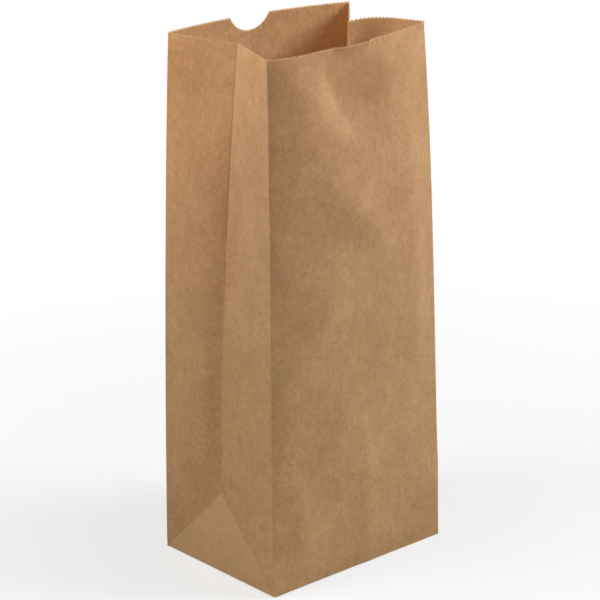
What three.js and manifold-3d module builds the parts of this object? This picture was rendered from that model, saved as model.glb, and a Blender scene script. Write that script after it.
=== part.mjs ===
// Brown kraft lunch bag with a square bottom and gusseted sides, standing open.
// Millimetres, +Z up. The plain wide panel faces -Y, the panel with the thumb notch faces +Y.
// The bag is one sheet: a tube glued down one seam, its lower end folded into a flat base.
// A place on the sheet is (along, height): along runs round the tube from the front-left fold,
// anticlockwise seen from above, and height runs up the sheet from the folds of the base.

import * as THREE from 'three';
import { mergeVertices } from 'three/addons/utils/BufferGeometryUtils.js';
import Module from 'manifold-3d';

const wasm = await Module();
wasm.setup();

// The sheet as it is cut and folded flat
const PANEL_WIDTH = 127;
const GUSSET_WIDTH = 96.5;
const BAG_HEIGHT = 305;
const PAPER = 0.12;
const SEAM_LAP = 14;
const SEAM_EASE = 6;
const FLAP_END_WIDTH = 10.5;
const SIDE_FLAP_SHORT = 1.5;
const TOOTH_PITCH = 2.35;
const TOOTH_HEIGHT = 0.9;
const NOTCH_RADIUS = 15;
const NOTCH_DEPTH = 9.2;

// How the folds stand once the bag is opened
const CORNER_SOFTNESS = 1.2;
const CREASE_SOFTNESS = 0.6;
const OPENING_CURVE = 1.25;
const FRONT_BOW = 8.1;
const FRONT_BOW_LEAN = -0.25;
const REAR_BOW = 8;
const LEFT_GUSSET = {
  side: -1,
  mouthShift: [5.7, -3.9],
  mouthTurn: THREE.MathUtils.degToRad(4.6),
  apexDepth: 1.2,
  mouthDepth: 14.1,
  depthCurve: 1.5,
  frontSlack: 0,
  frontLeafBulge: -0.8,
  rearLeafBulge: 2.2,
};
const RIGHT_GUSSET = {
  side: 1,
  mouthShift: [3.4, -5.7],
  mouthTurn: THREE.MathUtils.degToRad(6.4),
  apexDepth: 8,
  mouthDepth: 28.1,
  depthCurve: 0.42,
  frontSlack: 6.2,
  frontLeafBulge: 0.7,
  rearLeafBulge: 0.7,
};
const REAR_LEAF_LEAN = 0.5;
const SLACK_CURVE = 3;
const SLACK_IN_BOW = 0.78;
const SLACK_BOW_LEAN = 0.6;

// A stretch of the front rim that has curled outwards
const CURL_START = 43;
const CURL_END = 72;
const CURL_HEIGHT = 10;
const CURL_REACH = 2.5;
const CURL_SOFT_EASE = 9;
const CURL_SHARP_EASE = 2.5;

// How finely the sheet is divided
const PANEL_STEPS = 20;
const LEAF_STEPS = 8;
const WALL_STEPS = 11;
const CLIMB_STEPS = 12;
const EDGE_BAND = 1.1;
const CUT_EDGE = 0.1;

const LEAF = GUSSET_WIDTH / 2;
const FLOOR = 3 * PAPER;
const FLAP_LAP = PANEL_WIDTH / 2 - LEAF - FLAP_END_WIDTH / 2;
const SHEET_ROUND = 2 * (PANEL_WIDTH + GUSSET_WIDTH);
const FRONT_RIGHT = PANEL_WIDTH;
const REAR_RIGHT = FRONT_RIGHT + GUSSET_WIDTH;
const REAR_LEFT = REAR_RIGHT + PANEL_WIDTH;
const REAR_MIDDLE = REAR_RIGHT + PANEL_WIDTH / 2;
const SEAM_OUTER_EDGE = REAR_MIDDLE - SEAM_LAP;
const NOTCH_RISE = NOTCH_RADIUS - NOTCH_DEPTH;
const NOTCH_HALF_WIDTH = Math.sqrt(NOTCH_RADIUS ** 2 - NOTCH_RISE ** 2);
const FOLDS = [
  { along: 0, softness: CORNER_SOFTNESS, steps: PANEL_STEPS },
  { along: FRONT_RIGHT, softness: CORNER_SOFTNESS, steps: LEAF_STEPS },
  { along: FRONT_RIGHT + LEAF, softness: CREASE_SOFTNESS, steps: LEAF_STEPS },
  { along: REAR_RIGHT, softness: CORNER_SOFTNESS, steps: PANEL_STEPS },
  { along: REAR_LEFT, softness: CORNER_SOFTNESS, steps: LEAF_STEPS },
  { along: REAR_LEFT + LEAF, softness: CREASE_SOFTNESS, steps: LEAF_STEPS },
];

const wrap = (along) => ((along % SHEET_ROUND) + SHEET_ROUND) % SHEET_ROUND;
const plan = (x, y) => new THREE.Vector2(x, y);

// Level section of one gusset. Up to half its width above the base, two 45 degree creases leave a
// triangle between them, hinged on the base fold. Above their meeting point there is one centre
// crease, and each leaf keeps its cut width however far that crease folds in. A slack front leaf
// spans less than its width near the rim, and bows out.
function gussetSection(gusset, height) {
  const opening = (height / BAG_HEIGHT) ** OPENING_CURVE;
  const turn = gusset.mouthTurn * opening;
  const rearward = plan(Math.sin(turn), Math.cos(turn));
  const inward = plan(Math.cos(turn), -Math.sin(turn)).multiplyScalar(-gusset.side);
  const middle = plan(gusset.side * PANEL_WIDTH / 2, 0)
    .addScaledVector(plan(...gusset.mouthShift), opening);
  const leaf = Math.min(height, LEAF);
  const rise = Math.max(0, (height - LEAF) / (BAG_HEIGHT - LEAF));
  const deepening = (gusset.mouthDepth - gusset.apexDepth) * rise ** gusset.depthCurve;
  const depth = gusset.apexDepth * leaf / LEAF + deepening;
  const frontLeaf = leaf - gusset.frontSlack * rise ** SLACK_CURVE;
  const slackBow = SLACK_IN_BOW * Math.sqrt(3 / 8 * frontLeaf * (leaf - frontLeaf));
  const halfTriangle = LEAF - leaf;
  const frontSpan = halfTriangle + Math.sqrt(frontLeaf ** 2 - depth ** 2);
  const rearSpan = halfTriangle + Math.sqrt(leaf ** 2 - depth ** 2);
  const at = (rear, deep) => middle.clone().addScaledVector(rearward, rear).addScaledVector(inward, deep);
  return {
    front: at(-frontSpan, 0),
    frontCrease: at(-halfTriangle, depth),
    rearCrease: at(halfTriangle, depth),
    rear: at(rearSpan, 0),
    leaf,
    rise,
    slackBow,
  };
}

// A point between two folds, bowed out to the right of the way from one to the other.
function bowed(from, to, share, bow, lean = 0) {
  const way = to.clone().sub(from);
  const out = plan(way.y, -way.x).normalize();
  const swell = 4 * share * (1 - share) * (1 + lean * (2 * share - 1));
  return from.clone().addScaledVector(way, share).addScaledVector(out, bow * swell);
}

// The way round one gusset, from its front fold to its rear fold.
function gussetPlan(gusset, fromFront, height) {
  const section = gussetSection(gusset, height);
  const { front, frontCrease, rearCrease, rear, leaf, rise, slackBow } = section;
  const bulge = Math.sin(Math.PI * Math.sqrt(rise));
  if (fromFront < leaf) {
    const bow = gusset.side * (bulge * gusset.frontLeafBulge + slackBow);
    return bowed(front, frontCrease, fromFront / leaf, bow, slackBow > 0 ? SLACK_BOW_LEAN : 0);
  }
  const fromRear = GUSSET_WIDTH - fromFront;
  if (fromRear < leaf) {
    const bow = -gusset.side * bulge * gusset.rearLeafBulge;
    return bowed(rear, rearCrease, fromRear / leaf, bow, REAR_LEAF_LEAN);
  }
  const share = leaf < LEAF ? (fromFront - leaf) / (GUSSET_WIDTH - 2 * leaf) : 0;
  return frontCrease.clone().lerp(rearCrease, share);
}

// How far the curled stretch of the front rim stands out, most at the cut edge.
function rimCurl(along, height) {
  const upCurl = Math.max(0, 1 - (BAG_HEIGHT - height) / CURL_HEIGHT);
  const { smoothstep } = THREE.MathUtils;
  const begun = smoothstep(along, CURL_START, CURL_START + CURL_SOFT_EASE);
  return CURL_REACH * upCurl ** 2 * (begun - smoothstep(along, CURL_END - CURL_SHARP_EASE, CURL_END));
}

function sharpPlan(along, height) {
  const place = wrap(along);
  const opening = height / BAG_HEIGHT;
  const left = gussetSection(LEFT_GUSSET, height);
  const right = gussetSection(RIGHT_GUSSET, height);
  if (place < FRONT_RIGHT) {
    const curl = plan(0, -rimCurl(place, height));
    const bow = FRONT_BOW * opening;
    return bowed(left.front, right.front, place / PANEL_WIDTH, bow, FRONT_BOW_LEAN).add(curl);
  }
  if (place < REAR_RIGHT) return gussetPlan(RIGHT_GUSSET, place - FRONT_RIGHT, height);
  if (place < REAR_LEFT) {
    return bowed(right.rear, left.rear, (place - REAR_RIGHT) / PANEL_WIDTH, REAR_BOW * opening);
  }
  return gussetPlan(LEFT_GUSSET, SHEET_ROUND - place, height);
}

// Paper rounds a fold off, here by a parabola that leaves both panels along their own lines.
function softPlan(along, height) {
  const place = wrap(along);
  for (const fold of FOLDS) {
    const past = wrap(place - fold.along + SHEET_ROUND / 2) - SHEET_ROUND / 2;
    if (Math.abs(past) >= fold.softness) continue;
    const share = (past / fold.softness + 1) / 2;
    const before = sharpPlan(fold.along - fold.softness, height);
    const corner = sharpPlan(fold.along, height);
    const after = sharpPlan(fold.along + fold.softness, height);
    return before.lerp(corner, share).lerp(corner.lerp(after, share), share);
  }
  return sharpPlan(place, height);
}

// Leaning or bowing out of the upright brings a point down, as its distance up the sheet is kept.
function sheetPoint(along, height) {
  let here = softPlan(along, 0);
  let level = FLOOR - PAPER;
  const climb = height / CLIMB_STEPS;
  for (let step = 1; step <= CLIMB_STEPS; step += 1) {
    const next = softPlan(along, climb * step);
    level += Math.sqrt(Math.max(0, climb ** 2 - next.distanceToSquared(here)));
    here = next;
  }
  return new THREE.Vector3(here.x, here.y, level);
}

const PROBE = 0.4;
function sheetNormal(along, height) {
  const low = Math.max(0, height - PROBE);
  const around = sheetPoint(along + PROBE, height).sub(sheetPoint(along - PROBE, height));
  const upward = sheetPoint(along, low + 2 * PROBE).sub(sheetPoint(along, low));
  return around.cross(upward).normalize();
}

// Depths of the two faces below the outside of the tube. Two sheets lie in the lap of the seam.
// The inner one starts at the middle of the rear panel, and past the lap it eases back out.
function faceDepths(along) {
  const beforeLap = SEAM_OUTER_EDGE - wrap(along);
  const easing = beforeLap > 0 ? Math.max(0, 1 - beforeLap / SEAM_EASE) : 0;
  const inLap = beforeLap <= 0 && wrap(along) <= REAR_MIDDLE;
  return { outer: PAPER * easing, inner: PAPER * (inLap ? 2 : 1 + easing) };
}

// The cut rim: fine teeth all round, and one smooth round notch for the thumb.
const TEETH = Math.round(SHEET_ROUND / TOOTH_PITCH);
function rimHeight(along, isRoot) {
  const fromNotch = Math.abs(wrap(along) - REAR_MIDDLE);
  if (fromNotch < NOTCH_HALF_WIDTH) {
    return BAG_HEIGHT + NOTCH_RISE - Math.sqrt(NOTCH_RADIUS ** 2 - fromNotch ** 2);
  }
  return BAG_HEIGHT - (isRoot ? TOOTH_HEIGHT : 0);
}

// Columns of the walls: every fold with its two soft edges, equal steps between, and the seam.
function wallColumns() {
  const columns = [];
  FOLDS.forEach((fold, index) => {
    const next = FOLDS[(index + 1) % FOLDS.length];
    const width = wrap(next.along - fold.along);
    columns.push(fold.along, fold.along + fold.softness);
    for (let step = 1; step < fold.steps; step += 1) {
      columns.push(fold.along + width * step / fold.steps);
    }
    columns.push(fold.along + width - next.softness);
  });
  columns.push(SEAM_OUTER_EDGE - SEAM_EASE, SEAM_OUTER_EDGE - CUT_EDGE, SEAM_OUTER_EDGE);
  columns.push(REAR_MIDDLE + CUT_EDGE);
  return columns.sort((a, b) => a - b);
}

// Along the base fold the panels are straight, so only the four corners need columns.
function footColumns() {
  const corners = [0, FRONT_RIGHT, REAR_RIGHT, REAR_LEFT];
  return corners.flatMap((along) => [along - CORNER_SOFTNESS, along, along + CORNER_SOFTNESS])
    .map(wrap).sort((a, b) => a - b);
}

// One closed line round the sheet, with its points on the outer or the inner face.
function ring(columns, heightAt, face) {
  const points = columns.map((along, index) => {
    const height = heightAt(along, index);
    const normal = sheetNormal(along, height);
    return sheetPoint(along, height).addScaledVector(normal, -faceDepths(along)[face]);
  });
  return { columns, points };
}

function wallRings(face) {
  const columns = wallColumns();
  const rimColumns = Array.from({ length: 2 * TEETH }, (_, index) => index * SHEET_ROUND / (2 * TEETH));
  const shoulder = BAG_HEIGHT - NOTCH_DEPTH - TOOTH_HEIGHT - 2 * EDGE_BAND;
  const heights = [];
  for (let step = 1; step < LEAF_STEPS; step += 1) heights.push(LEAF * step / LEAF_STEPS);
  for (let step = 0; step <= WALL_STEPS; step += 1) {
    heights.push(LEAF + (shoulder - LEAF) * step / WALL_STEPS);
  }
  return [
    ring(footColumns(), () => (face === 'outer' ? 0 : PAPER), face),
    ...heights.map((height) => ring(columns, () => height, face)),
    ring(rimColumns, (along) => rimHeight(along, true) - EDGE_BAND, face),
    ring(rimColumns, (along, index) => rimHeight(along, index % 2 === 0), face),
  ];
}

// The tube with its floor: up the outer face, over the rim, down the inner face. Each closed line
// is joined to the next, walking round both together and always taking the shorter diagonal. Where
// two lines share their columns, the diagonal leans towards the middle of the panel instead, so
// that it lies along the 45 degree creases above the base.
function tubeWithFloor() {
  const rings = [...wallRings('outer'), ...wallRings('inner').reverse()];
  const positions = [];
  const starts = rings.map(({ points }) => {
    const start = positions.length / 3;
    points.forEach((point) => positions.push(point.x, point.y, point.z));
    return start;
  });
  const id = (which, count) => starts[which] + (count % rings[which].points.length);
  const triangles = [];
  for (let index = 0; index < rings.length - 1; index += 1) {
    const [here, there] = [rings[index], rings[index + 1]];
    const goesUp = index < rings.length / 2;
    let i = 0;
    let j = 0;
    while (i < here.points.length || j < there.points.length) {
      if (advanceThere(here, there, i, j, goesUp)) {
        triangles.push(id(index, i), id(index + 1, j + 1), id(index + 1, j));
        j += 1;
      } else {
        triangles.push(id(index, i), id(index, i + 1), id(index + 1, j));
        i += 1;
      }
    }
  }
  triangles.push(...cap(rings[0]).map((corner) => starts[0] + corner).reverse());
  triangles.push(...cap(rings.at(-1)).map((corner) => starts.at(-1) + corner));
  return solid(positions, triangles);
}

function advanceThere(here, there, i, j, goesUp) {
  if (i === here.points.length) return true;
  if (j === there.points.length) return false;
  const at = (line, count) => line.points[count % line.points.length];
  const column = (line, count) => line.columns[count] ?? SHEET_ROUND;
  const shared = column(here, i) === column(there, j) && column(here, i + 1) === column(there, j + 1);
  if (shared) return leansForward(column(here, i)) === goesUp;
  const keepHere = at(here, i).distanceTo(at(there, j + 1));
  const keepThere = at(here, i + 1).distanceTo(at(there, j));
  return keepHere < keepThere;
}

// In the first leaf of a gusset, and the first half of a wide panel, diagonals rise forward.
function leansForward(along) {
  const middles = FOLDS.map((fold) => fold.along).concat(PANEL_WIDTH / 2, REAR_MIDDLE, SHEET_ROUND);
  const next = Math.min(...middles.filter((middle) => middle > along + CUT_EDGE / 2));
  return ![FRONT_RIGHT, REAR_RIGHT, REAR_LEFT, SHEET_ROUND].includes(next);
}

function cap({ points }) {
  return THREE.ShapeUtils.triangulateShape(points.map((point) => plan(point.x, point.y)), []).flat();
}

function solid(positions, triangles) {
  return new wasm.Manifold(new wasm.Mesh({
    numProp: 3,
    vertProperties: new Float32Array(positions),
    triVerts: new Uint32Array(triangles),
  }));
}

// An upright prism over an outline given as [x, y] corners, anticlockwise.
function prism(corners, bottom, top) {
  const shape = new THREE.Shape(corners.map(([x, y]) => plan(x, y)));
  const geometry = new THREE.ExtrudeGeometry(shape, { depth: top - bottom, bevelEnabled: false });
  geometry.translate(0, 0, bottom);
  geometry.deleteAttribute('normal');
  geometry.deleteAttribute('uv');
  const welded = mergeVertices(geometry);
  return solid(welded.getAttribute('position').array, welded.index.array);
}

// The base. The side flaps fold in first and make the floor, then the front flap folds over them
// and the rear flap over that one, each with its corners turned in at 45 degrees. From below the
// side flaps show as triangles, and the rear flap laps over the front one across the middle.
function addBaseFlaps(bag) {
  const foldX = PANEL_WIDTH / 2 - CORNER_SOFTNESS;
  const foldY = LEAF - CORNER_SOFTNESS;
  const edgeY = LEAF - PAPER / 2;
  const tip = FLAP_END_WIDTH / 2;
  const flap = (facing, bottom) => {
    const corners = [[-foldX, -edgeY], [foldX, -edgeY], [foldX, -foldY], [tip, FLAP_LAP],
      [-tip, FLAP_LAP], [-foldX, -foldY]];
    return prism(corners.map(([x, y]) => [-facing * x, -facing * y]), bottom, FLOOR - PAPER / 2);
  };
  return bag.add(flap(-1, PAPER)).add(flap(1, 0));
}

// On the floor the two side flaps leave a strip open between their ends.
function cutBetweenSideFlaps(bag) {
  const half = FLAP_END_WIDTH / 2 + SIDE_FLAP_SHORT;
  const strip = (fromY, toY, bottom) => prism(
    [[-half, fromY], [half, fromY], [half, toY], [-half, toY]], bottom, FLOOR + PAPER);
  const end = LEAF - CORNER_SOFTNESS;
  return bag.subtract(strip(-end, FLAP_LAP, 2 * PAPER)).subtract(strip(0, end, PAPER));
}

const kraft = new THREE.MeshStandardMaterial({ color: 0xb58a5c, roughness: 0.85, metalness: 0 });

function paperBag() {
  const bag = cutBetweenSideFlaps(addBaseFlaps(tubeWithFloor()));
  const { vertProperties, triVerts } = bag.getMesh();
  const geometry = new THREE.BufferGeometry();
  geometry.setAttribute('position', new THREE.BufferAttribute(vertProperties, 3));
  geometry.setIndex(new THREE.BufferAttribute(triVerts, 1));
  geometry.computeVertexNormals();
  geometry.computeBoundingBox();
  const middle = geometry.boundingBox.getCenter(new THREE.Vector3());
  const mesh = new THREE.Mesh(geometry, kraft);
  mesh.name = 'paper_bag';
  mesh.position.set(-middle.x, -middle.y, -geometry.boundingBox.min.z);
  return mesh;
}

const group = new THREE.Group();
group.add(paperBag());

export default group;
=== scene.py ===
import math

import bmesh
import bpy
from mathutils import Matrix, Vector, noise


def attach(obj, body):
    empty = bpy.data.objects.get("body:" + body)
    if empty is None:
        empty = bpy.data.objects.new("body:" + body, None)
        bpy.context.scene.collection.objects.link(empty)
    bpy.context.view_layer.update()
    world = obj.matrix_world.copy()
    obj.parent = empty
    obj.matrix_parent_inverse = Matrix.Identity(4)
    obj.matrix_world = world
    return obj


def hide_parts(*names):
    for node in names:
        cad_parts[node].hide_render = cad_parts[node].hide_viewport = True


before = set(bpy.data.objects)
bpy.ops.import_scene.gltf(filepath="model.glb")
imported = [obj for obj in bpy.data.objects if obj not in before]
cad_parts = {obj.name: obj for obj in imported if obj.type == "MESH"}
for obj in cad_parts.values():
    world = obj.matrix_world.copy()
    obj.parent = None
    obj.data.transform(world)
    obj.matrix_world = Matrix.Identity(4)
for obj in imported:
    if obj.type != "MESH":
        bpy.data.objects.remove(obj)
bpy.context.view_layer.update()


# The camera. It stands in front of the bag, to its left and above it, with a long lens, and
# aims at a height over the middle of the bag's base. Azimuth 0 looks at the plain wide panel,
# and a negative one goes round to the left.
MM = 0.001
BASE_MIDDLE = Vector((-3.63, 3.2, 0)) * MM
CAMERA_AIM = BASE_MIDDLE + Vector((0, 0, 150)) * MM
CAMERA_AZIMUTH = math.radians(-40.68)
CAMERA_ELEVATION = math.radians(18.57)
CAMERA_ROLL = math.radians(-1.102)
CAMERA_DISTANCE = 1360.26 * MM
CAMERA_SLIDE = Vector((0.83, -1.71, 0)) * MM
LENS_MM = 144.33
SENSOR_MM = 36

camera_turn = (Matrix.Rotation(CAMERA_AZIMUTH, 4, "Z")
               @ Matrix.Rotation(math.pi / 2 - CAMERA_ELEVATION, 4, "X")
               @ Matrix.Rotation(CAMERA_ROLL, 4, "Z"))
lens = bpy.data.cameras.new("camera")
lens.lens = LENS_MM
lens.sensor_width = SENSOR_MM
camera = bpy.data.objects.new("camera", lens)
camera.matrix_world = (Matrix.Translation(CAMERA_AIM) @ camera_turn
                       @ Matrix.Translation(CAMERA_SLIDE + Vector((0, 0, CAMERA_DISTANCE))))
bpy.context.collection.objects.link(camera)
bpy.context.scene.camera = camera


# The sheet. One web of brown kraft paper, its upper end cut by a toothed blade. It is laid out
# flat here, along the web and up it, with lines cut in wherever it will be folded. Each column
# of the grid is half a tooth wide, so that the folds lie on columns and so do the teeth.
PANEL_WIDTH = 127 * MM
GUSSET_WIDTH = 96.5 * MM
LEAF = GUSSET_WIDTH / 2
HEIGHT = 305 * MM
PAPER = 0.12 * MM
FLAP_LAP = 10 * MM
FLAP_LENGTH = LEAF + FLAP_LAP
PANEL_COLUMNS = 108
LEAF_COLUMNS = 41
LAP_COLUMNS = 12
ROWS = 73
CUT_SNAP = 0.02 * MM

ROUND = 2 * (PANEL_WIDTH + GUSSET_WIDTH)
FRONT_RIGHT = PANEL_WIDTH
REAR_RIGHT = FRONT_RIGHT + GUSSET_WIDTH
REAR_LEFT = REAR_RIGHT + PANEL_WIDTH
REAR_MIDDLE = REAR_RIGHT + PANEL_WIDTH / 2
CORNERS = (0, FRONT_RIGHT, REAR_RIGHT, REAR_LEFT)
GUSSET_CREASES = (FRONT_RIGHT + LEAF, REAR_LEFT + LEAF)
UPRIGHT_FOLDS = (*CORNERS, *GUSSET_CREASES)
COLUMN = PANEL_WIDTH / PANEL_COLUMNS
SEAM_START = REAR_MIDDLE - LAP_COLUMNS * COLUMN
WEB_END = ROUND + REAR_MIDDLE
SHEET_COLUMNS = 2 * PANEL_COLUMNS + 4 * LEAF_COLUMNS + LAP_COLUMNS

# Widths of the web in columns, from the seam on round the tube and past the seam again
stretches = [
    (LAP_COLUMNS + PANEL_COLUMNS // 2, SEAM_START, REAR_LEFT),
    (LEAF_COLUMNS, REAR_LEFT, REAR_LEFT + LEAF),
    (LEAF_COLUMNS, REAR_LEFT + LEAF, ROUND),
    (PANEL_COLUMNS, ROUND, ROUND + FRONT_RIGHT),
    (LEAF_COLUMNS, ROUND + FRONT_RIGHT, ROUND + FRONT_RIGHT + LEAF),
    (LEAF_COLUMNS, ROUND + FRONT_RIGHT + LEAF, ROUND + REAR_RIGHT),
    (PANEL_COLUMNS // 2, ROUND + REAR_RIGHT, WEB_END),
]


def column_place(column):
    for count, start, end in stretches:
        if column <= count:
            return start + (end - start) * column / count
        column -= count
    return WEB_END


def cut_line(sheet, faces, point, normal):
    edges = {edge for face in faces for edge in face.edges}
    verts = {vert for face in faces for vert in face.verts}
    bmesh.ops.bisect_plane(sheet, geom=list(faces) + list(edges) + list(verts),
                           dist=CUT_SNAP, plane_co=point, plane_no=normal)


def faces_between(sheet, low, high, bottom, top):
    return [face for face in sheet.faces
            if low < face.calc_center_median().x < high
            and bottom < face.calc_center_median().y < top]


sheet = bmesh.new()
bmesh.ops.create_grid(sheet, x_segments=SHEET_COLUMNS, y_segments=ROWS, size=0.5)
for vert in sheet.verts:
    column = round((vert.co.x + 0.5) * SHEET_COLUMNS)
    vert.co.x = column_place(column)
    vert.co.y = -FLAP_LENGTH + (vert.co.y + 0.5) * (HEIGHT + FLAP_LENGTH)

# Each upright fold gets two lines close on either side. The base fold and the rim get level ones.
SOFT_LINES = (0.4 * MM, 0.8 * MM)
BASE_FOLD_LEVELS = (-0.8 * MM, -0.4 * MM, 0, 0.4 * MM, 0.8 * MM, 2.2 * MM)
RIM_LEVELS = (HEIGHT - 1.6 * MM, HEIGHT - 3 * MM, HEIGHT - 7 * MM)
for fold in (ROUND, *UPRIGHT_FOLDS[1:], *(ROUND + fold for fold in UPRIGHT_FOLDS[1:5])):
    for beside in SOFT_LINES:
        for place in (fold - beside, fold + beside):
            if SEAM_START < place < WEB_END:
                cut_line(sheet, sheet.faces, (place, 0, 0), (1, 0, 0))
for level in (*BASE_FOLD_LEVELS, *RIM_LEVELS):
    cut_line(sheet, sheet.faces, (0, level, 0), (0, 1, 0))

# Diagonal creases: above the base in each gusset, below it in the corners of the wide flaps.
DIAGONAL_LINES = (-1 * MM, -0.4 * MM, 0, 0.4 * MM, 1 * MM)
for start, end in ((REAR_LEFT, ROUND), (ROUND + FRONT_RIGHT, ROUND + REAR_RIGHT)):
    middle = (start + end) / 2
    for beside in DIAGONAL_LINES:
        cut_line(sheet, faces_between(sheet, start, middle, 0, LEAF),
                 (start + beside, 0, 0), (1, -1, 0))
        cut_line(sheet, faces_between(sheet, middle, end, 0, LEAF),
                 (end - beside, 0, 0), (1, 1, 0))
for corner in (REAR_LEFT, ROUND + FRONT_RIGHT):
    cut_line(sheet, faces_between(sheet, corner - PANEL_WIDTH / 2, corner, -FLAP_LENGTH, 0),
             (corner, 0, 0), (1, -1, 0))
for corner in (ROUND, ROUND + REAR_RIGHT):
    cut_line(sheet, faces_between(sheet, corner, corner + PANEL_WIDTH / 2, -FLAP_LENGTH, 0),
             (corner, 0, 0), (1, 1, 0))


# Teeth and thumb notch. The blade that cuts the web leaves a fine row of teeth round the mouth,
# and a shallow round bite is taken out of the rear panel so that a thumb can open the bag. The
# rows below the bite close up over NOTCH_EASE.
TOOTH_HEIGHT = 0.9 * MM
NOTCH_RADIUS = 15 * MM
NOTCH_DEPTH = 9.2 * MM
NOTCH_EASE = 24 * MM
NOTCH_SHIFT = 2.2 * MM
HAIR = 0.01 * MM


def rim_height(along, is_tip):
    from_notch = abs(along % ROUND - REAR_MIDDLE - NOTCH_SHIFT)
    rise = NOTCH_RADIUS - NOTCH_DEPTH
    if from_notch < math.sqrt(NOTCH_RADIUS ** 2 - rise ** 2):
        return HEIGHT + rise - math.sqrt(NOTCH_RADIUS ** 2 - from_notch ** 2)
    return HEIGHT - (0 if is_tip else TOOTH_HEIGHT)


for vert in sheet.verts:
    if vert.co.y > HEIGHT - HAIR:
        column = round((vert.co.x - SEAM_START) / COLUMN)
        vert.co.y = rim_height(vert.co.x, column % 2 == 0)
    else:
        share = max(0, (vert.co.y - HEIGHT + NOTCH_EASE) / NOTCH_EASE)
        vert.co.y -= (HEIGHT - rim_height(vert.co.x, True)) * share


# Light and shade painted along the creases. The corner folds get a pale line, partly rubbed
# wear and partly painted highlight, the left gusset's centre crease a painted shade line where it
# is sharp, towards the mouth, the diagonal creases a fainter painted shade line, and the
# triangles over the base painted light that makes them paler than the leaves. Each is painted on
# the sheet while it is still flat.
CREASE_FADE = (120 * MM, 250 * MM)
DIAGONAL_DARKNESS = 0.4
TRIANGLE_EDGE = 0.6 * MM


def ramp(value, start, end):
    share = min(1, max(0, (value - start) / (end - start)))
    return share * share * (3 - 2 * share)


def past_fold(along, fold):
    return (along - fold + ROUND / 2) % ROUND - ROUND / 2


def from_nearest(along, folds):
    return min(abs(past_fold(along, fold)) for fold in folds)


def line_share(distance):
    return max(0, 1 - distance / SOFT_LINES[-1])


fold_wear_and_highlight = sheet.verts.layers.float.new("fold_wear_and_highlight")
crease_shade = sheet.verts.layers.float.new("crease_shade")
triangle_painted_light = sheet.verts.layers.float.new("triangle_painted_light")
for vert in sheet.verts:
    along, height = vert.co.x, vert.co.y
    past_crease = from_nearest(along, GUSSET_CREASES)
    # Pale line on the corner folds: partly rubbed wear, partly painted highlight
    vert[fold_wear_and_highlight] = line_share(from_nearest(along, CORNERS))
    # Painted shade along the left centre crease, strongest towards the mouth, and a fainter painted shade
    # along the diagonal creases
    if height > LEAF:
        past_left = from_nearest(along, GUSSET_CREASES[1:])
        vert[crease_shade] = line_share(past_left) * ramp(height, *CREASE_FADE)
    elif height > 0 and past_crease < LEAF - HAIR:
        past_diagonal = abs(past_crease + height - LEAF) / math.sqrt(2)
        vert[crease_shade] = DIAGONAL_DARKNESS * line_share(past_diagonal)
        # Painted light on the triangles over the base
        vert[triangle_painted_light] = ramp(LEAF - past_crease - height, -TRIANGLE_EDGE, TRIANGLE_EDGE)

# The flat layout is kept as the paper's own map, so that its fibres follow the sheet.
MAP_LIFT = 2 * LEAF
paper_map = sheet.loops.layers.uv.new("sheet")
for face in sheet.faces:
    for loop in face.loops:
        loop[paper_map].uv = (loop.vert.co.x, loop.vert.co.y + MAP_LIFT)


# The opened bag. The sides are folded in along their centre creases, the left one a little and
# the right one deeply, and the mouth has spread and turned. Near the base two 45 degree creases
# leave a triangle in each side. Every leaf keeps its cut width.
OPENING_CURVE = 1.25
FRONT_BOW = 8.1 * MM
FRONT_BOW_LEAN = -0.25
REAR_BOW = 8 * MM
CORNER_SOFTNESS = 0.8 * MM
SLACK_CURVE = 3
SLACK_IN_BOW = 0.78
SLACK_BOW_LEAN = 0.6
DEPTH_EASE = 0.012
CLIMB_STEPS = 24
left_gusset = {
    "side": -1, "mouth_shift": Vector((5.7, -3.9)) * MM, "mouth_turn": math.radians(4.6),
    "apex_depth": 3 * MM, "mouth_depth": 14.1 * MM, "depth_curve": 1.9, "front_slack": 0,
    "front_leaf_bulge": -0.8 * MM, "front_leaf_wave": 0.6 * MM, "rear_leaf_bulge": 4.4 * MM,
}
right_gusset = {
    "side": 1, "mouth_shift": Vector((3.4, -5.7)) * MM, "mouth_turn": math.radians(6.4),
    "apex_depth": 8 * MM, "mouth_depth": 28.1 * MM, "depth_curve": 0.42, "front_slack": 6.2 * MM,
    "front_leaf_bulge": 0.7 * MM, "front_leaf_wave": 0, "rear_leaf_bulge": 0.7 * MM,
}

# Where a leaf bulges, as shares of the way from the triangle's tip to the mouth
BULGE_START = (0, 0.1)
BULGE_GROWTH = (0.2, 0.6)
BULGE_END = (0.66, 0.9)
LOW_BULGE = 0.4
LEAF_CURVE_PEAK = 0.472


def depth_share(rise, curve):
    start, end = DEPTH_EASE ** curve, (1 + DEPTH_EASE) ** curve
    return ((rise + DEPTH_EASE) ** curve - start) / (end - start)


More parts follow.
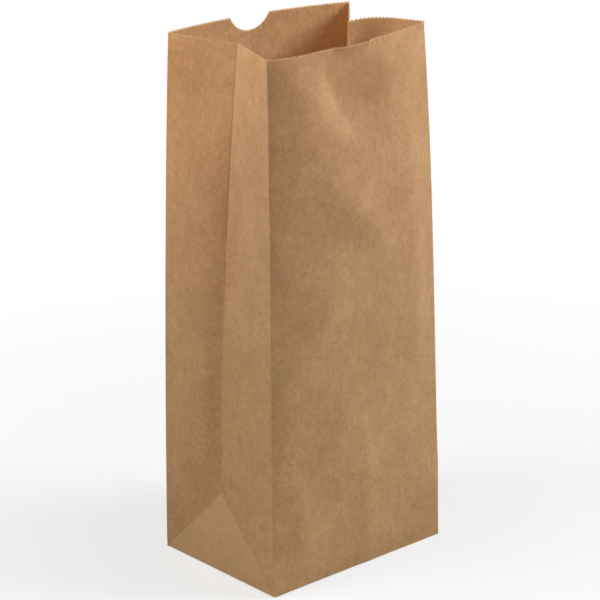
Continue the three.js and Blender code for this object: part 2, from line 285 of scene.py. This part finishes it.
def gusset_section(gusset, height):
    opening = (height / HEIGHT) ** OPENING_CURVE
    turn = gusset["mouth_turn"] * opening
    rearward = Vector((math.sin(turn), math.cos(turn)))
    inward = Vector((math.cos(turn), -math.sin(turn))) * -gusset["side"]
    middle = Vector((gusset["side"] * PANEL_WIDTH / 2, 0)) + gusset["mouth_shift"] * opening
    leaf = min(height, LEAF)
    rise = max(0, (height - LEAF) / (HEIGHT - LEAF))
    added_depth = gusset["mouth_depth"] - gusset["apex_depth"]
    depth = gusset["apex_depth"] * leaf / LEAF + added_depth * depth_share(rise, gusset["depth_curve"])
    front_leaf = leaf - gusset["front_slack"] * rise ** SLACK_CURVE
    slack_bow = SLACK_IN_BOW * math.sqrt(3 / 8 * front_leaf * (leaf - front_leaf))
    half_triangle = LEAF - leaf
    front = middle - rearward * (half_triangle + math.sqrt(front_leaf ** 2 - depth ** 2))
    front_crease = middle - rearward * half_triangle + inward * depth
    rear_crease = middle + rearward * half_triangle + inward * depth
    rear = middle + rearward * (half_triangle + math.sqrt(leaf ** 2 - depth ** 2))
    return front, front_crease, rear_crease, rear, leaf, rise, slack_bow


def bowed(start, end, share, out):
    way = end - start
    return start + way * share + Vector((way.y, -way.x)).normalized() * out


def round_swell(share, lean=0.0):
    return 4 * share * (1 - share) * (1 + lean * (2 * share - 1))


def gusset_plan(gusset, section, from_front):
    front, front_crease, rear_crease, rear, leaf, rise, slack_bow = section
    bulge = gusset["side"] * ramp(rise, *BULGE_START) * (1 - ramp(rise, *BULGE_END))
    bulge *= LOW_BULGE + (1 - LOW_BULGE) * ramp(rise, *BULGE_GROWTH)
    if from_front < leaf:
        share = from_front / leaf
        out = bulge * gusset["front_leaf_bulge"] * round_swell(share)
        out += bulge * gusset["front_leaf_wave"] * math.sin(2 * math.pi * share)
        out += gusset["side"] * slack_bow * round_swell(share, SLACK_BOW_LEAN)
        return bowed(front, front_crease, share, out)
    from_rear = GUSSET_WIDTH - from_front
    if from_rear < leaf:
        share = from_rear / leaf
        out = -bulge * gusset["rear_leaf_bulge"] * (share - share ** 4) / LEAF_CURVE_PEAK
        return bowed(rear, rear_crease, share, out)
    share = (from_front - leaf) / (GUSSET_WIDTH - 2 * leaf) if leaf < LEAF else 0
    return front_crease.lerp(rear_crease, share)


section_cache = {}


def sections(height):
    key = round(height, 7)
    if key not in section_cache:
        section_cache[key] = (gusset_section(left_gusset, height),
                              gusset_section(right_gusset, height))
    return section_cache[key]


def sharp_plan(along, height):
    along %= ROUND
    left, right = sections(height)
    opening = height / HEIGHT
    if along < FRONT_RIGHT:
        share = along / PANEL_WIDTH
        return bowed(left[0], right[0], share, FRONT_BOW * opening * round_swell(share, FRONT_BOW_LEAN))
    if along < REAR_RIGHT:
        return gusset_plan(right_gusset, right, along - FRONT_RIGHT)
    if along < REAR_LEFT:
        share = (along - REAR_RIGHT) / PANEL_WIDTH
        return bowed(right[3], left[3], share, REAR_BOW * opening * round_swell(share))
    return gusset_plan(left_gusset, left, ROUND - along)


def rounded(before, corner, after, share):
    return before.lerp(corner, share).lerp(corner.lerp(after, share), share)


def soft_plan(along, height):
    for fold in UPRIGHT_FOLDS:
        past = past_fold(along, fold)
        if abs(past) < CORNER_SOFTNESS:
            return rounded(sharp_plan(fold - CORNER_SOFTNESS, height), sharp_plan(fold, height),
                           sharp_plan(fold + CORNER_SOFTNESS, height),
                           (past / CORNER_SOFTNESS + 1) / 2)
    return sharp_plan(along, height)


# The paper doesn't stretch, so where it leans it climbs less than its own length.
climbs = {}


def wall_place(along, height):
    key = round(along, 7)
    step_height = HEIGHT / CLIMB_STEPS
    if key not in climbs:
        levels, here = [0.0], soft_plan(along, 0)
        for step in range(1, CLIMB_STEPS + 1):
            there = soft_plan(along, step_height * step)
            rise = step_height ** 2 - (there - here).length_squared
            levels.append(levels[-1] + math.sqrt(max(0, rise)))
            here = there
        climbs[key] = levels
    step = min(int(height / step_height), CLIMB_STEPS - 1)
    low, high = climbs[key][step:step + 2]
    here = soft_plan(along, height)
    return Vector((here.x, here.y, low + (high - low) * (height / step_height - step)))


# The base. The web's lower end is folded in: first the ends of the two sides, which make the
# floor, then the front flap and last the rear flap, glued down with their corners turned in.
FLAP_LEVEL = {"side": 4 * PAPER, "front": 2 * PAPER, "rear": 0}
TUCK_LEVEL = {"front": 4 * PAPER, "rear": 3 * PAPER}
BASE_SOFTNESS = 0.8 * MM
FOOT_HEIGHT = 20 * MM


def base_place(along, depth):
    along %= ROUND
    half_width = PANEL_WIDTH / 2
    if FRONT_RIGHT <= along < REAR_RIGHT:
        return Vector((half_width - depth, along - FRONT_RIGHT - LEAF, FLAP_LEVEL["side"]))
    if along >= REAR_LEFT:
        return Vector((-half_width + depth, REAR_LEFT + LEAF - along, FLAP_LEVEL["side"]))
    flap, facing = ("front", 1) if along < FRONT_RIGHT else ("rear", -1)
    from_left = along if flap == "front" else REAR_LEFT - along
    from_right = PANEL_WIDTH - from_left
    if from_left < depth - HAIR:
        return Vector((-half_width + depth, facing * (from_left - LEAF), TUCK_LEVEL[flap]))
    if from_right < depth - HAIR:
        return Vector((half_width - depth, facing * (from_right - LEAF), TUCK_LEVEL[flap]))
    return Vector((-half_width + from_left, facing * (depth - LEAF), FLAP_LEVEL[flap]))


def folded_place(along, height):
    foot = base_place(along, 0)
    if height <= -BASE_SOFTNESS:
        return base_place(along, -height)
    if height < BASE_SOFTNESS:
        return rounded(base_place(along, BASE_SOFTNESS), foot, folded_place(along, BASE_SOFTNESS),
                       (height / BASE_SOFTNESS + 1) / 2)
    spot = wall_place(along, height)
    spot.z += foot.z * max(0, 1 - height / FOOT_HEIGHT)
    return spot


# Dents and swells that the paper has taken from being folded, opened and handled. Each function
# gives how far the paper stands out of its smooth panel at a place on the sheet. They die away
# at the base and at the folds, which hold the paper stiff.
STIFF_FOOT = 30 * MM
STIFF_EDGE = 12 * MM


def hump(value, middle, reach):
    return math.exp(-((value - middle) / reach) ** 2)


# The front panel's mouth: a dent that runs down from the rim, steep on its left, and the rim
# curling out beside it and at the right corner
RIM_DENT_DEPTH = 7.6 * MM
RIM_DENT_PLACE = 38 * MM
RIM_DENT_LEAN = 0.5
RIM_DENT_LEFT_REACH = 15 * MM
RIM_DENT_RIGHT_REACH = 36 * MM
RIM_DENT_AT_RIM = 0.35
RIM_DENT_DEEPEST = 26 * MM
RIM_DENT_FADE = (34 * MM, 60 * MM)
CURL = 3 * MM
CURL_REACH = 9 * MM
CURL_LEFT = (43 * MM, 52 * MM)
CURL_RIGHT = (69.5 * MM, 72 * MM)
CORNER_CURL = 1.6 * MM
CORNER_CURL_REACH = 5 * MM
CORNER_CURL_PLACE = 122 * MM
CORNER_CURL_WIDTH = 4 * MM


def rim_dent(along, down):
    past = along - RIM_DENT_PLACE - RIM_DENT_LEAN * down
    reach = RIM_DENT_LEFT_REACH if past < 0 else RIM_DENT_RIGHT_REACH
    deepening = RIM_DENT_AT_RIM + (1 - RIM_DENT_AT_RIM) * ramp(down, 0, RIM_DENT_DEEPEST)
    return -RIM_DENT_DEPTH * hump(past, 0, reach) * deepening * (1 - ramp(down, *RIM_DENT_FADE))


def rim_curl(along, down):
    beside_dent = ramp(along, *CURL_LEFT) - ramp(along, *CURL_RIGHT)
    at_corner = hump(along, CORNER_CURL_PLACE, CORNER_CURL_WIDTH)
    return (CURL * beside_dent * max(0, 1 - down / CURL_REACH) ** 2
            + CORNER_CURL * at_corner * max(0, 1 - down / CORNER_CURL_REACH) ** 2)


# The rest of the front panel: it swells away from its two folds, keeps the print of the base
# that was folded up against it, and has ridges (outward) and dents (inward) all over. A ridge
# has its lower end, its upper end, half its width and its height, in millimetres.
FOLD_SWELL = 2.1 * MM
LEFT_FOLD_REACH = 11 * MM
RIGHT_FOLD_REACH = 22 * MM
BASE_PRINT = 1.6 * MM
BASE_PRINT_RISE = (93 * MM, 125 * MM)
BASE_PRINT_FALL = (125 * MM, 205 * MM)
BASE_PRINT_SIDE = (70 * MM, 112 * MM)
RIDGE_START = (-0.25, 0.15)
RIDGE_END = (0.85, 1.25)
FRONT_RIDGES = (
    ((77, 196), (34, 236), 10, 2.2),
    ((70, 4), (66, 72), 7, 0.8),
    ((18, 6), (20, 60), 6, 0.5),
    ((40, 150), (36, 178), 16, 1.6),
    ((56, 55), (52, 100), 18, 1.8),
    ((84, 262), (88, 292), 14, 1.6),
    ((100, 130), (108, 230), 16, 1.0),
    ((96, 20), (92, 70), 9, -0.6),
)


def ridge(spot, start, end, reach):
    way = end - start
    lengthwise = (spot - start).dot(way) / way.length_squared
    across = (spot - start).cross(way) / way.length
    return hump(across, 0, reach) * ramp(lengthwise, *RIDGE_START) * (1 - ramp(lengthwise, *RIDGE_END))


def front_panel_relief(along, height):
    spot = Vector((along, height))
    down = HEIGHT - height
    fold_swell = FOLD_SWELL * ramp(height, 0, STIFF_FOOT) * math.tanh(along / LEFT_FOLD_REACH)
    fold_swell *= 1 - math.exp((along - PANEL_WIDTH) / RIGHT_FOLD_REACH)
    handled = BASE_PRINT * ramp(along, *BASE_PRINT_SIDE) * (
        ramp(height, *BASE_PRINT_RISE) - ramp(height, *BASE_PRINT_FALL))
    for start, end, reach, size in FRONT_RIDGES:
        handled += size * MM * ridge(spot, Vector(start) * MM, Vector(end) * MM, reach * MM)
    handled *= 1 - ramp(along, PANEL_WIDTH - RIGHT_FOLD_REACH, PANEL_WIDTH)
    return fold_swell + rim_dent(along, down) + rim_curl(along, down) + handled


# The left gusset's rear leaf swells out over its triangle.
LEAF_SWELL = 2.4 * MM
LEAF_SWELL_RISE = 60 * MM
LEAF_SWELL_FADE = (85 * MM, 200 * MM)
LEAF_SWELL_FOLD_SIDE = 20 * MM


def rear_left_leaf_relief(from_fold, height):
    swell = LEAF_SWELL * ramp(height - from_fold, 0, LEAF_SWELL_RISE) * (1 - ramp(height, *LEAF_SWELL_FADE))
    return swell * ramp(from_fold, 0, LEAF_SWELL_FOLD_SIDE) * ramp(LEAF - from_fold, 0, STIFF_EDGE)


# Fine waves all over the paper, as their height and how many there are to a metre along and up
BROAD_WAVES = (0.3 * MM, 28, 12)
STREAKY_WAVES = (0.06 * MM, 110, 16)


def waves(along, height, kind, seed):
    size, count_along, count_up = kind
    return size * noise.noise(Vector((along * count_along, height * count_up, seed)))


def relief(along, height):
    along %= ROUND
    out = 0.0
    if along < FRONT_RIGHT:
        out += front_panel_relief(along, height)
    elif REAR_LEFT < along < REAR_LEFT + LEAF:
        out += rear_left_leaf_relief(along - REAR_LEFT, height)
    free = ramp(from_nearest(along, UPRIGHT_FOLDS), 0, STIFF_EDGE) * ramp(height, 0, STIFF_FOOT)
    return out + free * (waves(along, height, BROAD_WAVES, 3.1) + waves(along, height, STREAKY_WAVES, 7.7))


# The back seam. The web's last strip lies under its first one, glued down, so that it is one
# sheet deeper there. Its free edge is pressed nearly flush.
SEAM_EASE = 6 * MM
SEAM_FEATHER = 1.6 * MM
SEAM_EDGE_SHARE = 0.8


def seam_depth(web_place):
    flush = SEAM_EDGE_SHARE + (1 - SEAM_EDGE_SHARE) * ramp(WEB_END - web_place, 0, SEAM_FEATHER)
    return PAPER * ramp(web_place - ROUND - SEAM_START, -SEAM_EASE, 0) * flush


flat_places = {vert: (vert.co.x, vert.co.y) for vert in sheet.verts}
for vert, (web_place, height) in flat_places.items():
    vert.co = folded_place(web_place % ROUND, height) + BASE_MIDDLE
sheet.normal_update()
normals = {vert: vert.normal.copy() for vert in sheet.verts}
for vert, (web_place, height) in flat_places.items():
    out = relief(web_place, height) if height > 0 else 0
    vert.co += normals[vert] * (out - seam_depth(web_place))

# Only the tightest folds and the web's two ends catch the light as sharp edges.
SHARP_FOLD = math.radians(50)
for edge in sheet.edges:
    one, other = (flat_places[vert][0] for vert in edge.verts)
    is_web_end = edge.is_boundary and abs(one - other) < HAIR
    edge.smooth = not is_web_end and edge.calc_face_angle(0) < SHARP_FOLD
for face in sheet.faces:
    face.smooth = True

bag_mesh = bpy.data.meshes.new("kraft_bag")
sheet.to_mesh(bag_mesh)
sheet.free()
bag = bpy.data.objects.new("kraft_bag", bag_mesh)
bpy.context.collection.objects.link(bag)
thickness = bag.modifiers.new("paper", "SOLIDIFY")
thickness.thickness = PAPER
thickness.offset = -1
thickness.material_offset = 1
thickness.material_offset_rim = 2


# The paper itself. Brown kraft is unbleached wood fibre, matt and a little cloudy, with its
# fibres mostly upright, and so thin that some light comes through. Its inside is a lighter copy,
# painted light standing in for the light that gets into the bag, and the cut edge is greyer.
LIGHT_KRAFT = (0.52, 0.305, 0.145, 1)
DARK_KRAFT = (0.37, 0.20, 0.085, 1)
FIBRE = (0.30, 0.155, 0.06, 1)
# Pale fibre tone, also used for the painted highlight on the corner folds and the painted light on the base
# triangles
PALE_FIBRE_AND_HIGHLIGHT = (0.62, 0.39, 0.20, 1)
# Tone of the painted shade in the creases
CREASE_SHADE_TONE = (0.20, 0.10, 0.04, 1)
# How much lighter the inside is painted, as painted light
INSIDE_PAINTED_LIGHT = 1.3
INSIDE_LIGHT_THROUGH = 0.12
CUT_EDGE_SATURATION = 0.85


def paper_noise(tree, scale, detail):
    place = tree.nodes.new("ShaderNodeUVMap")
    place.uv_map = "sheet"
    stretch = tree.nodes.new("ShaderNodeMapping")
    stretch.inputs["Scale"].default_value = scale
    tree.links.new(place.outputs["UV"], stretch.inputs["Vector"])
    pattern = tree.nodes.new("ShaderNodeTexNoise")
    pattern.inputs["Scale"].default_value = 1
    pattern.inputs["Detail"].default_value = detail
    pattern.inputs["Roughness"].default_value = 0.6
    tree.links.new(stretch.outputs["Vector"], pattern.inputs["Vector"])
    return pattern.outputs["Fac"]


def painted(tree, name):
    attribute = tree.nodes.new("ShaderNodeAttribute")
    attribute.attribute_name = name
    return attribute.outputs["Fac"]


def between(tree, value, low, high, top):
    spread = tree.nodes.new("ShaderNodeMapRange")
    spread.inputs["From Min"].default_value = low
    spread.inputs["From Max"].default_value = high
    spread.inputs["To Max"].default_value = top
    tree.links.new(value, spread.inputs["Value"])
    return spread.outputs["Result"]


def blend_over(tree, base, tone, amount):
    mix = tree.nodes.new("ShaderNodeMix")
    mix.data_type = "RGBA"
    tree.links.new(amount, mix.inputs["Factor"])
    if isinstance(base, tuple):
        mix.inputs["A"].default_value = base
    else:
        tree.links.new(base, mix.inputs["A"])
    mix.inputs["B"].default_value = tone
    return mix.outputs["Result"]


kraft = bpy.data.materials.new("brown_kraft")
kraft.use_nodes = True
tree = kraft.node_tree
shader = tree.nodes["Principled BSDF"]
shader.inputs["Roughness"].default_value = 0.88
shader.inputs["Specular IOR Level"].default_value = 0.25
shader.inputs["Subsurface Weight"].default_value = 1
shader.inputs["Subsurface Radius"].default_value = (1.0, 0.92, 0.85)
shader.inputs["Subsurface Scale"].default_value = 0.42 * MM

# Patterns are scaled in waves to a metre along the web and up it. Each layer has its tone, its
# pattern, the pattern's value where it starts, the value where it is full, and how strong it is.
clouds = paper_noise(tree, (55, 38, 1), 4)
patches = paper_noise(tree, (170, 120, 1), 3)
mottle = paper_noise(tree, (480, 360, 1), 3)
fibres = paper_noise(tree, (1900, 330, 1), 4)
flecks = paper_noise(tree, (1500, 520, 1), 2)
paper_layers = (
    (DARK_KRAFT, clouds, 0.35, 0.7, 0.6),
    (DARK_KRAFT, patches, 0.4, 0.7, 0.5),
    (PALE_FIBRE_AND_HIGHLIGHT, mottle, 0.5, 0.72, 0.3),
    (DARK_KRAFT, mottle, 0.5, 0.3, 0.45),
    (PALE_FIBRE_AND_HIGHLIGHT, fibres, 0.52, 0.8, 0.38),
    (FIBRE, flecks, 0.6, 0.85, 0.6),
    # Pale fold line: partly rubbed wear, partly painted highlight
    (PALE_FIBRE_AND_HIGHLIGHT, painted(tree, "fold_wear_and_highlight"), 0.2, 1, 0.5),
    # Painted shade in the creases
    (CREASE_SHADE_TONE, painted(tree, "crease_shade"), 0.05, 0.8, 0.5),
    # Painted light on the base triangles
    (PALE_FIBRE_AND_HIGHLIGHT, painted(tree, "triangle_painted_light"), 0, 1, 0.42),
)
colour = LIGHT_KRAFT
for tone, pattern, start, full, strength in paper_layers:
    colour = blend_over(tree, colour, tone, between(tree, pattern, start, full, strength))
shade = tree.nodes.new("ShaderNodeHueSaturation")
shade.name = "shade"
tree.links.new(colour, shade.inputs["Color"])
tree.links.new(shade.outputs["Color"], shader.inputs["Base Color"])
bump = tree.nodes.new("ShaderNodeBump")
bump.inputs["Strength"].default_value = 0.3
bump.inputs["Distance"].default_value = 0.15 * MM
tree.links.new(fibres, bump.inputs["Height"])
tree.links.new(bump.outputs["Normal"], shader.inputs["Normal"])

# The inside: a copy of the paper painted lighter, standing in for the light that gets into the bag
kraft_inside = kraft.copy()
kraft_inside.name = "brown_kraft_inside"
inside_nodes = kraft_inside.node_tree.nodes
inside_nodes["shade"].inputs["Value"].default_value = INSIDE_PAINTED_LIGHT
inside_nodes["Principled BSDF"].inputs["Subsurface Weight"].default_value = INSIDE_LIGHT_THROUGH
kraft_cut = kraft.copy()
kraft_cut.name = "brown_kraft_cut_edge"
cut_nodes = kraft_cut.node_tree.nodes
cut_nodes["shade"].inputs["Saturation"].default_value = CUT_EDGE_SATURATION
cut_nodes["Principled BSDF"].inputs["Subsurface Weight"].default_value = 0
for paper_face in (kraft, kraft_inside, kraft_cut):
    bag_mesh.materials.append(paper_face)
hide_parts("paper_bag")
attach(bag, "root")


# The floor, a plain pale sweep. To the camera it is white, and near the bag it keeps a share of
# its own lit colour, which holds the bag's shadow.
FLOOR_SIZE = 6
FLOOR_SHARE_LIT = 0.35
FLOOR_WHITENS = (120 * MM, 500 * MM)
floor_mesh = bpy.data.meshes.new("floor")
plane = bmesh.new()
bmesh.ops.create_grid(plane, x_segments=1, y_segments=1, size=FLOOR_SIZE)
plane.to_mesh(floor_mesh)
plane.free()
floor = bpy.data.objects.new("floor", floor_mesh)
bpy.context.collection.objects.link(floor)


def larger(tree, one, other):
    maximum = tree.nodes.new("ShaderNodeMath")
    maximum.operation = "MAXIMUM"
    tree.links.new(one, maximum.inputs[0])
    tree.links.new(other, maximum.inputs[1])
    return maximum.outputs[0]


def seen_directly(tree):
    path = tree.nodes.new("ShaderNodeLightPath")
    seen = larger(tree, path.outputs["Is Camera Ray"], path.outputs["Is Glossy Ray"])
    return larger(tree, seen, path.outputs["Is Transmission Ray"])


pale = bpy.data.materials.new("pale_floor")
pale.use_nodes = True
tree = pale.node_tree
tree.nodes.remove(tree.nodes["Principled BSDF"])
lit = tree.nodes.new("ShaderNodeBsdfDiffuse")
lit.inputs["Color"].default_value = (0.8, 0.8, 0.8, 1)
glow = tree.nodes.new("ShaderNodeEmission")
glow.inputs["Color"].default_value = (1, 1, 1, 1)
glow.inputs["Strength"].default_value = 1
place = tree.nodes.new("ShaderNodeTexCoord")
from_bag = tree.nodes.new("ShaderNodeVectorMath")
from_bag.operation = "LENGTH"
tree.links.new(place.outputs["Object"], from_bag.inputs[0])
whitening = tree.nodes.new("ShaderNodeMapRange")
whitening.inputs["From Min"].default_value = FLOOR_WHITENS[0]
whitening.inputs["From Max"].default_value = FLOOR_WHITENS[1]
whitening.inputs["To Min"].default_value = 1 - FLOOR_SHARE_LIT
tree.links.new(from_bag.outputs["Value"], whitening.inputs["Value"])
white_share = tree.nodes.new("ShaderNodeMath")
white_share.operation = "MULTIPLY"
tree.links.new(whitening.outputs["Result"], white_share.inputs[0])
tree.links.new(seen_directly(tree), white_share.inputs[1])
mix = tree.nodes.new("ShaderNodeMixShader")
tree.links.new(white_share.outputs[0], mix.inputs["Fac"])
tree.links.new(lit.outputs["BSDF"], mix.inputs[1])
tree.links.new(glow.outputs["Emission"], mix.inputs[2])
tree.links.new(mix.outputs["Shader"], tree.nodes["Material Output"].inputs["Surface"])
floor_mesh.materials.append(pale)


# Plain soft studio light: a small warm lamp close on the left, a wide cooler one on the right,
# and a pale room. Both lamps aim at the middle of the bag, and azimuth 0 is in front of it.
LAMP_AIM = Vector((0, 0, 160)) * MM
ROOM_LIGHT = 0.16


def soft_lamp(name, azimuth, elevation, distance, size, watts, colour):
    data = bpy.data.lights.new(name, "AREA")
    data.shape = "DISK"
    data.size = size
    data.energy = watts
    data.color = colour
    lamp = bpy.data.objects.new(name, data)
    lamp.matrix_world = (Matrix.Translation(LAMP_AIM)
                         @ Matrix.Rotation(math.radians(azimuth), 4, "Z")
                         @ Matrix.Rotation(math.radians(90 - elevation), 4, "X")
                         @ Matrix.Translation((0, 0, distance)))
    bpy.context.collection.objects.link(lamp)


soft_lamp("left_lamp", azimuth=-106, elevation=50, distance=0.74, size=0.45, watts=3.7,
          colour=(1.0, 0.97, 0.92))
soft_lamp("right_lamp", azimuth=48, elevation=41, distance=1.6, size=0.8, watts=24,
          colour=(0.91, 0.955, 1.0))

room = bpy.data.worlds.new("room")
bpy.context.scene.world = room
room.use_nodes = True
tree = room.node_tree
background = tree.nodes["Background"]
background.inputs["Color"].default_value = (1, 1, 1, 1)
strength = tree.nodes.new("ShaderNodeMapRange")
strength.inputs["To Min"].default_value = ROOM_LIGHT
strength.inputs["To Max"].default_value = 1
tree.links.new(seen_directly(tree), strength.inputs["Value"])
tree.links.new(strength.outputs["Result"], background.inputs["Strength"])
bpy.context.scene.view_settings.view_transform = "Standard"
